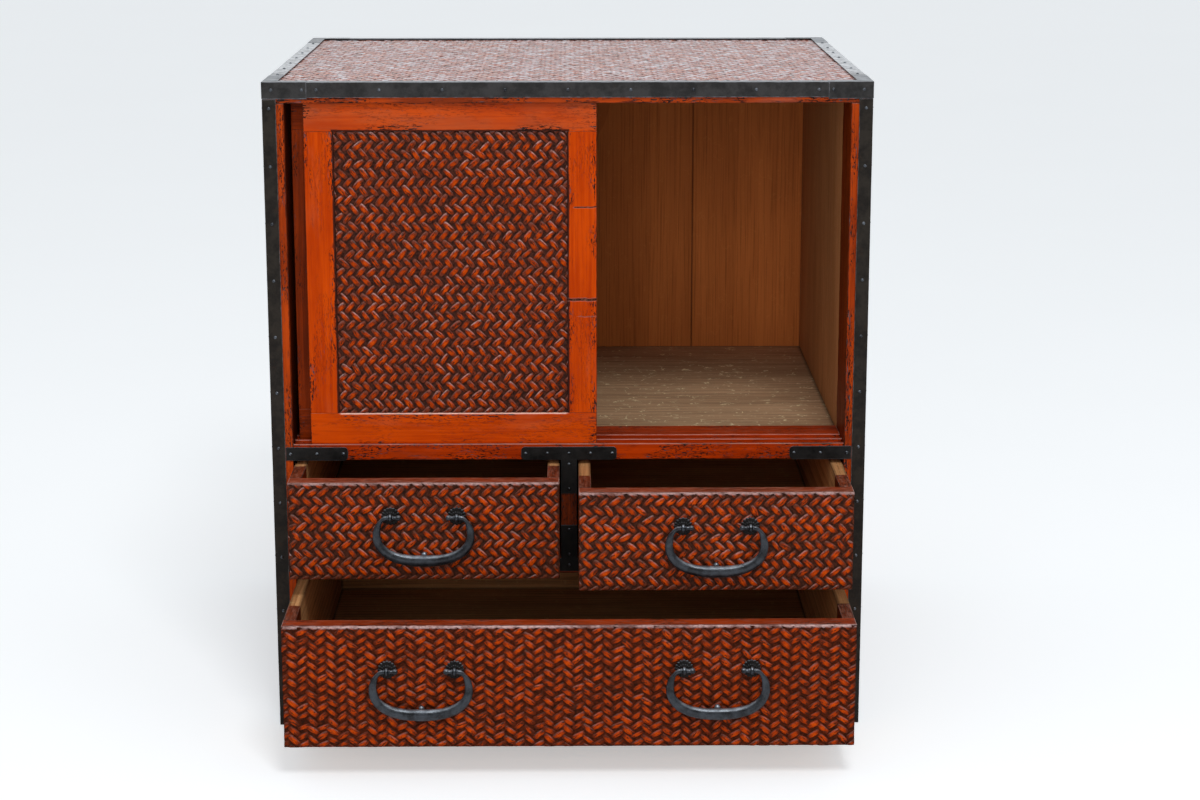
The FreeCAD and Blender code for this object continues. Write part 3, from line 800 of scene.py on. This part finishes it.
# height, opening, depth, stretch and darkness of each crack in the front door's right stile
stileCracks = [(404.7, 2.4, 0.32, 4.0, 22.0, 1.0), (334.4, 3.6, 0.5, -1.0, 22.0, 1.0),
               (321.5, 1.4, 0.15, 8.0, 22.0, 0.45)]
doorLooks = {"front_door": ("orangeFrame", stileCracks), "rear_door": ("shadedRearFrame", ())}
stileWidth = 22 * mm
for i, (door, (finish, cracks)) in enumerate(doorLooks.items()):
    weave = door + "_weave"
    dressBoard(door + "_stiles", finish, 2, 0.3, 9, 0.14, seed=31 + i, openReach=math.inf,
               cracks=cracks, opening=weave)
    dressBoard(door + "_rails", finish, 0, 0.6, 9, 0.14, seed=35 + i, openReach=stileWidth,
               opening=weave)
    dressBoard(door + "_panel", "plainWood", 2, 0.2, 30, 0.03, seed=39 + i)

drawerFaces = {"small_drawer_left": "smallFace", "small_drawer_right": "smallFace",
               "large_drawer": "largeFace"}
for i, (drawer, face) in enumerate(drawerFaces.items()):
    dressBoard(drawer + "_front", face, 0, 0.7, 10, 0.2, seed=51 + i)
    dressBoard(drawer + "_sides", "drawerSide", 1, 0.6, 14, 0.15, seed=55 + i)
    dressBoard(drawer + "_back", "drawerInside", 0, 0.5, 20, 0.1, seed=59 + i)
    dressBoard(drawer + "_bottom", "drawerInside", 0, 0.3, 20, 0.08, seed=63 + i)
print("boards dressed")

# iron strips and plates: finish, depth of the hammer waves and how far their ends are
# pushed into what they meet, in mm
ironWork = {
    "top_edge_long": ("edgeIron", 0.12, 0.6),
    "top_edge_side": ("flangeIron", 0.12, 0.0),
    "corner_caps": ("edgeIron", 0.1, 0.0),
    "front_posts": ("postIron", 0.14, 0.0),
    "back_posts": ("postIron", 0.14, 0.0),
    "foot_bands": ("postIron", 0.14, 0.0),
    "tee_plates": ("plateIron", 0.1, 0.0),
    "end_brackets": ("plateIron", 0.1, 0.0),
}
ironRounding, ironStep, hammerLength = 0.22, 6, 14.0
for i, (name, (finish, wave, butt)) in enumerate(ironWork.items()):
    dressBoard(name, finish, 2, ironRounding, ironStep, wave, hammerLength, seed=71 + i,
               butt=butt)
repaint("case_nails", "nailIron")
print("iron strips dressed")


# woven sheets, with one domed float for every splint that shows; lengths in mm
doorWeave = {
    "rows": True,              # floats stand side by side in level rows
    "pitch": 7.85,             # from one float to the next in its row
    "rowPitch": 6.75,
    "rising": 49, "falling": -50,      # lean of the two sets of floats
    "length": 12.6, "width": 5.4,
    "crown": (0.64, 0.86, 2.6),        # how far the red reaches along and across, how abruptly
    "relief": 1.35, "edgeDrop": 1.3,
    "along": (0.93, 0.75, 0.5, 0.15), "across": (0.92, 0.74, 0.45),
    "rollWidth": 0.0, "rollDrop": 0.0,     # how the sheet's border is rounded over
    "frayed": 0.0,                         # how uneven its cut ends are
    "bead": 0.0,                           # height of the lacquer bead along its top
}
rolled = {"rollWidth": 2.4, "rollDrop": 0.8, "frayed": 0.5, "bead": 1.7}
smallWeave = dict(doorWeave, pitch=8.1, rowPitch=6.7, rising=42, falling=-46, relief=1.45,
                  crown=(0.66, 0.88, 2.7), **rolled)
largeWeave = dict(doorWeave, rows=False, pitch=7.25, rowPitch=7.15, rising=33, falling=-38,
                  width=5.5, relief=1.45, crown=(0.69, 0.85, 2.6), **rolled)
caseWeave = dict(doorWeave, relief=1.15, edgeDrop=0.95, along=(0.93, 0.5), across=(0.85, 0.4))

weaveHabit = {
    "slip": 0.36, "twist": 5.0, "narrow": 0.1, "stretch": 0.04, "sink": 0.16,  # uneven hand
    "margin": 3.5,             # how far outside the sheet a float may have its middle
    "taper": 0.16,             # how much narrower a float is at its ends
    "footing": 0.25,           # how far above the back of the sheet the floats' rims lie
    "groundInset": 0.15,       # of the flat ground behind the floats
    "markReach": 20,           # how far in from the border a finish can tell where it is
    "sideThick": 1.4 * mm,
}
# the bead in section: shares of its height, and drops from the sheet's face in mm
beadProfile = {"shares": (0.02, 0.12, 0.4, 0.75, 1.0), "over": (0.55, 0.32, 0.5),
               "foot": 1.3, "end": 1.0, "station": 1.5, "inset": 0.2}


def mirroredSteps(steps):
    # steps given from the outside in, mirrored about the middle and closed by the outline
    inner = [-s for s in steps] + [s for s in reversed(steps) if s > 0]
    return np.array([-1.0] + inner + [1.0])


def latticeOf(weave, width, height):
    # centres of the floats on a sheet, and the way that each leans
    runs, stacks = (width, height) if weave["rows"] else (height, width)
    lines = []
    for k in range(-1, int(stacks / weave["rowPitch"]) + 3):
        lean = 1 if k % 2 == 0 else -1
        for n in range(-1, int(runs / weave["pitch"]) + 3):
            run = (n + 0.25 * lean) * weave["pitch"]
            stack = k * weave["rowPitch"]
            lines.append((run, stack, lean) if weave["rows"] else (stack, run, lean))
    centres = np.array(lines)
    spots, margin = centres[:, :2], weaveHabit["margin"]
    return centres[np.all((spots > -margin) & (spots < (width + margin, height + margin)), 1)]


def beadRows(weave, width, height, thick, random):
    # a wavy bead of lacquer that seals the top border
    bead = beadProfile
    stations = np.linspace(bead["inset"], width - bead["inset"], int(width / bead["station"]))
    wave = np.convolve(random.normal(0, 1, len(stations) + 2), np.ones(3) / 3, "valid")
    reach = weave["bead"] * np.clip(1 + 0.6 * wave, 0.35, 2.2)
    drops = (thick - bead["foot"], *bead["over"], thick - bead["end"])
    return np.array([[(a, height - share * r, thick - drop - 0.12 * w * (share > 0.1))
                      for share, drop in zip(bead["shares"], drops)]
                     for a, r, w in zip(stations, reach, np.abs(wave))])


def weaveSheet(nodeName, finish, weave, ways, seed, side=""):
    # ways are the sheet's own directions in the chest: across, upward and outward
    random = np.random.RandomState(seed)
    habit = weaveHabit
    low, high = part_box(nodeName)
    if side == "left":
        high = Vector((low.x + habit["sideThick"], high.y, high.z))
    if side == "right":
        low = Vector((high.x - habit["sideThick"], low.y, low.z))
    ends = [(low.dot(Vector(way)), high.dot(Vector(way))) for way in ways]
    start = [min(pair) for pair in ends]
    width, height, thick = [abs(last - first) / mm for first, last in ends]

    centres = latticeOf(weave, width, height)
    count = len(centres)
    lean = centres[:, 2]
    spot = centres[:, :2] + random.normal(0, habit["slip"], (count, 2))
    turn = np.radians(np.where(lean > 0, weave["rising"], weave["falling"])
                      + random.normal(0, habit["twist"], count))[:, None]
    wide = weave["width"] / 2 * (1 - np.abs(random.normal(0, habit["narrow"], count)))
    far = weave["length"] / 2 * (1 + random.normal(0, habit["stretch"], count))
    sink = np.abs(random.normal(0, habit["sink"], count))
    lot = random.uniform(0, 1, count)
    fray = random.uniform(0, 1, (count, 4)) * weave["frayed"]

    u, v = mirroredSteps(weave["along"]), mirroredSteps(weave["across"])
    gridU, gridV = [grid.ravel()[None, :] for grid in np.meshgrid(u, v, indexing="ij")]
    alongU, acrossV = np.abs(gridU), np.abs(gridV)
    onRim = (alongU > 0.99) | (acrossV > 0.99)
    run = gridU * far[:, None]
    cross = gridV * wide[:, None] * (1 - habit["taper"] * alongU ** 3)
    ground = thick - habit["footing"]
    drop = (weave["relief"] * alongU ** 3.4 + weave["edgeDrop"] * acrossV ** 2.6
            + sink[:, None])
    drop = np.where(onRim, ground, np.minimum(drop, ground))
    level = np.clip(1 - drop / weave["relief"], 0, 1)
    x = spot[:, :1] + run * np.cos(turn) - cross * np.sin(turn)
    z = spot[:, 1:] + run * np.sin(turn) + cross * np.cos(turn)
    nearest = np.minimum(np.minimum(x, width - x), np.minimum(z, height - z))
    if weave["rollWidth"]:
        roll = np.clip(1 - nearest / weave["rollWidth"], 0, 0.98)
        drop = drop + (1 - np.sqrt(1 - roll ** 2)) * weave["rollDrop"]
    drop = np.minimum(drop, thick - 0.05)
    x = np.clip(x, fray[:, :1], width - fray[:, 1:2])
    z = np.clip(z, fray[:, 2:3], height - fray[:, 3:4])

    crownLong, crownWide, steep = weave["crown"]
    crown = 1 - (alongU / crownLong) ** steep - (np.abs(gridV + 0.06) / crownWide) ** steep
    crown = np.where(onRim, 0.0, np.clip(crown, 0, 1)) + 0 * x
    lots = lot[:, None] + 0 * x
    strand = np.stack([run * mm, cross * mm, lots * 3], axis=-1)

    points = [np.stack([x.ravel(), z.ravel(), (thick - drop).ravel()], 1)]
    nu, nv = len(u), len(v)
    ids = np.arange(nu * nv).reshape(nu, nv)

    def quadsOf(grid):
        return np.stack([grid[:-1, :-1], grid[1:, :-1], grid[1:, 1:], grid[:-1, 1:]],
                        -1).reshape(-1, 4)

    quads = quadsOf(ids)
    edge = np.concatenate([ids[0, :], ids[1:, -1], ids[-1, -2::-1], ids[-2:0:-1, 0]])
    faces = []
    for i in range(count):
        faces.extend((quads + i * nu * nv).tolist())
        faces.append((edge + i * nu * nv).tolist())
    base, beadPoints = count * nu * nv, np.zeros((0, 3))
    if weave["bead"]:
        rows = beadRows(weave, width, height, thick, random)
        beadPoints = rows.reshape(-1, 3)
        beadIds = base + np.arange(len(beadPoints)).reshape(rows.shape[:2])
        faces.extend(quadsOf(beadIds)[:, [0, 3, 2, 1]].tolist())
        faces += [beadIds[0][::-1].tolist(), beadIds[-1].tolist()]
        points.append(beadPoints)

    # the flat ground that the floats stand on
    base += len(beadPoints)
    inset = habit["groundInset"]
    outline = ((inset, inset), (width - inset, inset), (width - inset, height - inset),
               (inset, height - inset))
    points.append(np.array([(a, b, c) for c in (0.0, thick - weave["relief"] * 0.97)
                            for a, b in outline]))
    slab = [(3, 2, 1, 0), (4, 5, 6, 7), (0, 1, 5, 4), (1, 2, 6, 5), (2, 3, 7, 6), (3, 0, 4, 7)]
    faces += [[base + k for k in face] for face in slab]

    name = nodeName + "_splints" + (side and "_" + side)
    data = bpy.data.meshes.new(name)
    points = (np.concatenate(points) * mm + start) @ np.array(ways, float)
    data.from_pydata(points.tolist(), [], faces)

    def addAttribute(label, values, onGround=0.0, onBead=0.0):
        # values of the floats' points, then of the bead's and of the ground's corners
        isVector = values.ndim == 3
        tail = np.full((len(beadPoints) + 8,) + values.shape[2:], onGround)
        tail[:len(beadPoints)] = onBead
        flat = np.concatenate([values.reshape((-1,) + values.shape[2:]), tail])
        layer = data.attributes.new(label, "FLOAT_VECTOR" if isVector else "FLOAT", "POINT")
        layer.data.foreach_set("vector" if isVector else "value",
                               flat.astype(np.float32).ravel())

    reach = habit["markReach"]
    addAttribute("crown", crown)
    addAttribute("height", level, 0.0, 1.0)
    addAttribute("inset", np.clip(nearest, 0, reach) * mm)
    addAttribute("fromTop", np.clip(height - z, 0, reach) * mm, reach * mm, 0.0)
    addAttribute("lot", lots, 0.0, 0.8)
    addAttribute("strand", strand, 0.0, beadPoints * mm)
    smooth = np.array([polygon.loop_total <= 4 for polygon in data.polygons])
    smooth[-6:] = False
    data.polygons.foreach_set("use_smooth", smooth)
    data.validate()
    setPiece(name, data, finish, nodeName)
    print(name, count, "floats,", len(data.polygons), "faces")


right, left = (1, 0, 0), (-1, 0, 0)
back, front = (0, 1, 0), (0, -1, 0)
up = (0, 0, 1)
facing = (right, up, front)
# each sheet: node, finish, weave, its own directions, seed, side
sheets = [
    ("front_door_weave", "doorSplint", doorWeave, facing, 11),
    ("rear_door_weave", "doorSplint", doorWeave, facing, 12),
    ("small_drawer_left_weave", "drawerSplint", smallWeave, facing, 21),
    ("small_drawer_right_weave", "drawerSplint", smallWeave, facing, 22),
    ("large_drawer_weave", "largeSplint", largeWeave, facing, 31),
    ("woven_top", "topSplint", caseWeave, (right, back, up), 41),
    ("woven_sides", "caseSplint", caseWeave, (front, up, left), 51, "left"),
    ("woven_sides", "caseSplint", caseWeave, (back, up, right), 52, "right"),
]
for sheet in sheets:
    weaveSheet(*sheet)
print("woven sheets laid")


forging = {
    "bail": {"grid": 0.34, "smooth": 3, "dent": 0.12, "dentLength": 5.0, "fullness": 1.0},
    "eye": {"grid": 0.3, "smooth": 2, "dent": 0.06, "dentLength": 2.0, "fullness": 0.0},
}
# the upper share of a bail, which turns in the eyes, how much thinner it is there, and how
# fast it grows full below
neck = {"share": 0.14, "play": 0.1, "growth": 5.0}


def forge(nodeName, look, seed):
    # one skin over the node, then light hammer marks
    source = weldNode(nodeName)
    data = bpy.data.meshes.new(nodeName + "_blank")
    source.to_mesh(data)
    source.free()
    blank = addObject(nodeName + "_blank", data)
    skin = blank.modifiers.new("skin", "REMESH")
    skin.mode = "VOXEL"
    skin.voxel_size = look["grid"] * mm
    relax = blank.modifiers.new("relax", "SMOOTH")
    relax.factor = 0.5
    relax.iterations = look["smooth"]
    forged = blank.evaluated_get(bpy.context.evaluated_depsgraph_get())
    mesh = bmesh.new()
    mesh.from_mesh(forged.to_mesh())
    forged.to_mesh_clear()
    bpy.data.objects.remove(blank)
    mesh.normal_update()
    low, high = cornersOf(mesh.verts)
    for vert in mesh.verts:
        belly = 1 - (vert.co.z - low.z) / (high.z - low.z)      # 1 at the bottom
        swelling = max(-neck["play"], min(1.0, (belly - neck["share"]) * neck["growth"]))
        swelling *= look["fullness"] * mm
        vert.co += Vector((vert.normal.x, 0, vert.normal.z)) * swelling
    waveSurface(mesh, look["dent"] * mm, look["dentLength"] * mm, seed)
    settle(mesh, nodeName + "_forged", "handleIron", nodeName, smooth=True)


rosetteShape = {
    "petals": 16, "stepsPerPetal": 6,
    "rings": (0.0, 1.2, 2.2, 3.0, 3.5, 3.9, 4.6, 5.4, 6.1, 6.6, 6.9, 7.0),
    "bossRadius": 3.6, "bossRise": 2.2, "bossRound": 0.28, "thick": 1.3,
    "valley": 0.42, "notch": 0.11,     # depth of the grooves between petals, as shares
}


def rosettes(nodeName):
    # round petals in a ring with a bossed middle, one for each pin
    shape = rosetteShape
    rings, boss = shape["rings"], shape["bossRadius"]
    around = shape["petals"] * shape["stepsPerPetal"]
    source = weldNode(nodeName, flatten=False)
    boxes = [cornersOf(group) for group in islandsOf(source)]
    source.free()
    mesh = bmesh.new()
    for low, high in boxes:
        middle = (low + high) / 2
        previous = None
        for ring in rings:
            points = []
            for k in range(around):
                turn = 2 * math.pi * k / around
                crest = abs(math.cos(turn * shape["petals"] / 2))
                outer = min(1.0, max(0.0, (ring - boss) / (rings[-1] - boss)))
                reach = ring * (1 - shape["notch"] * (1 - crest) * outer) * mm
                if ring <= boss:
                    rise = shape["bossRise"] * (1 - shape["bossRound"] * (ring / boss) ** 2)
                else:
                    petal = 1 - shape["valley"] * (1 - crest) ** 1.5
                    rise = shape["thick"] * petal * math.sqrt(max(0.0, 1 - outer ** 5))
                points.append(mesh.verts.new((middle.x + reach * math.cos(turn),
                                              high.y - rise * mm,
                                              middle.z + reach * math.sin(turn))))
            if previous:
                for k in range(around):
                    after = (k + 1) % around
                    mesh.faces.new((previous[k], previous[after], points[after], points[k]))
            previous = points
        mesh.faces.new(previous)
    bmesh.ops.remove_doubles(mesh, verts=mesh.verts, dist=boardWork["weldGap"])
    bmesh.ops.recalc_face_normals(mesh, faces=mesh.faces)
    settle(mesh, nodeName + "_forged", "rosetteIron", nodeName, smooth=True)


for i, place in enumerate(("small_left", "small_right", "large_left", "large_right")):
    forge("bail_" + place, forging["bail"], 91 + i)
for i, drawer in enumerate(drawerFaces):
    forge(drawer + "_eyes", forging["eye"], 95 + i)
    rosettes(drawer + "_rosettes")
    repaint(drawer + "_studs", "studIron")
print("handles forged")


studio = {
    "floorTone": (240, 243, 245), "floorSize": 24.0,
    "skyTone": (248, 251, 254), "skyLight": 0.47,
    "frontSky": 0.35,          # what polished faces see of the sky in front of the chest
    "floorLift": 0.46,         # how much the floor is lifted towards white where it is seen
    "lamps": {
        # power, place, size, what it points at and whether polished faces show it
        "front_light": (24.0, (-0.3, -3.1, 0.85), 1.7, (0.0, 0.0, 0.28), False),
        "top_light": (26.0, (0.35, -1.95, 2.3), 0.7, (0.0, -0.1, 0.3), True),
    },
}


def seenRays(tree):
    # 1 where something is seen, straight or in a polished or clear face
    rays = [addNode(tree, "ShaderNodeLightPath", kind)
            for kind in ("Is Camera Ray", "Is Glossy Ray", "Is Transmission Ray")]
    return rays[0], greatest(*rays)


def layFloor():
    half = studio["floorSize"] / 2
    data = bpy.data.meshes.new("studio_floor")
    data.from_pydata([(-half, -half, 0), (half, -half, 0), (half, half, 0), (-half, half, 0)],
                     [], [(0, 1, 2, 3)])
    material, tree, shader = newMaterial("studio_floor_paint")
    spot = spotIn(tree)
    tone = studio["floorTone"]
    colour = blend(tone, grains(spot, 3.0, 2.0), [part - 4 for part in tone])
    tree.links.new(colour.socket, shader.inputs["Base Color"])
    shader.inputs["Roughness"].default_value = 0.9
    shader.inputs["Specular IOR Level"].default_value = 0.1
    glow = addNode(tree, "ShaderNodeEmission", 0,
                   {"Color": paint(tone), "Strength": seenRays(tree)[1] * studio["floorLift"]})
    lifted = addNode(tree, "ShaderNodeAddShader", 0, {0: Value(shader.outputs[0]), 1: glow})
    tree.links.new(lifted.socket, tree.nodes["Material Output"].inputs["Surface"])
    data.materials.append(material)
    addObject("studio_floor", data)


def hangLights():
    world = bpy.data.worlds.new("studio_sky")
    world.use_nodes = True
    bpy.context.scene.world = world
    tree = world.node_tree
    sky = tree.nodes["Background"]
    sky.inputs["Color"].default_value = paint(studio["skyTone"])
    away, upward = partsOf(addNode(tree, "ShaderNodeTexCoord", "Generated"))[1:]
    camera, seen = seenRays(tree)
    shown = greatest(fade(away + upward, -0.6, 0.3, studio["frontSky"], 1.0), camera)
    strength = addNode(tree, "ShaderNodeMix", 0, {0: seen, 2: studio["skyLight"], 3: shown},
                       data_type="FLOAT")
    tree.links.new(strength.socket, sky.inputs["Strength"])
    for name, (power, place, size, target, reflected) in studio["lamps"].items():
        lamp = bpy.data.lights.new(name, "AREA")
        lamp.energy = power
        lamp.shape = "SQUARE"
        lamp.size = size
        holder = addObject(name, lamp)
        holder.location = place
        holder.rotation_mode = "QUATERNION"
        aim = Vector(target) - holder.location
        holder.rotation_quaternion = aim.to_track_quat("-Z", "Y")
        holder.visible_glossy = reflected


cameraSet = {"place": (0.0014, -2.0445, 0.6836), "pitchDown": 12.946, "turnRight": 0.687,
             "lens": 75.37, "sensorWidth": 36.0}


def setCamera():
    data = bpy.data.cameras.new("camera")
    data.lens = cameraSet["lens"]
    data.sensor_width = cameraSet["sensorWidth"]
    camera = addObject("camera", data)
    camera.location = cameraSet["place"]
    camera.rotation_euler = (math.radians(90 - cameraSet["pitchDown"]), 0.0,
                             -math.radians(cameraSet["turnRight"]))
    bpy.context.scene.camera = camera


layFloor()
hangLights()
setCamera()
bpy.context.scene.view_settings.view_transform = "Standard"
print("studio ready")
